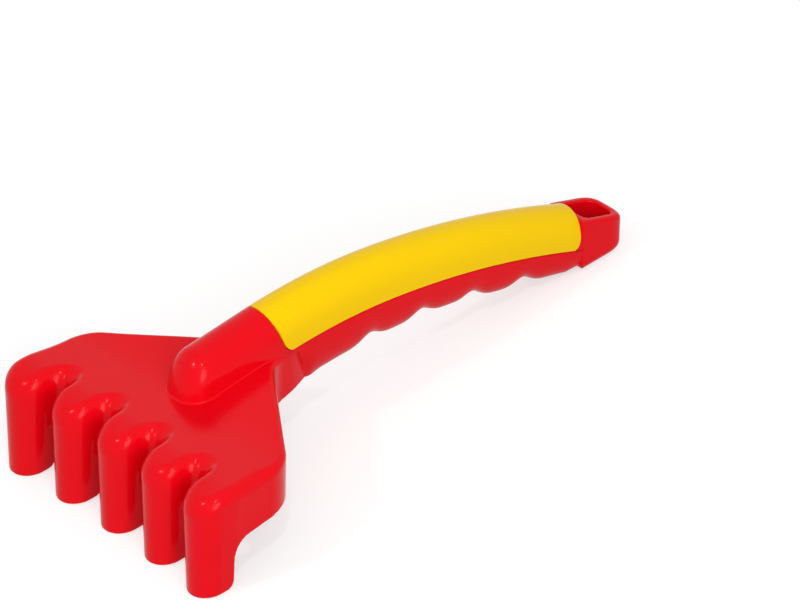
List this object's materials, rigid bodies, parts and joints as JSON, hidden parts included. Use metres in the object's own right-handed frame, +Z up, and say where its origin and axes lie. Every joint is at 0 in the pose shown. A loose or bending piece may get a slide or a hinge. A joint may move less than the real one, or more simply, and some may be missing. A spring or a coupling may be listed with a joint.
{
  "type": "sand rake",
  "caption": "Child's plastic sand rake with hollow tines, an arched finger grip, an inlaid grip cover and a hanging hole.",
  "frame": {"origin": "centre of the overall box, on the surface that the rake rests on with its tines down", "axes": "+X across the tines, +Y from the tines to the tail, +Z up"},
  "size_m": [0.1128, 0.2198, 0.0502],
  "materials": {
    "body": "glossy",
    "cover": "glossy"
  },
  "bodies": {
    "root": {"rake_body": "body", "grip_cover": "cover"}
  },
  "joints": []
}
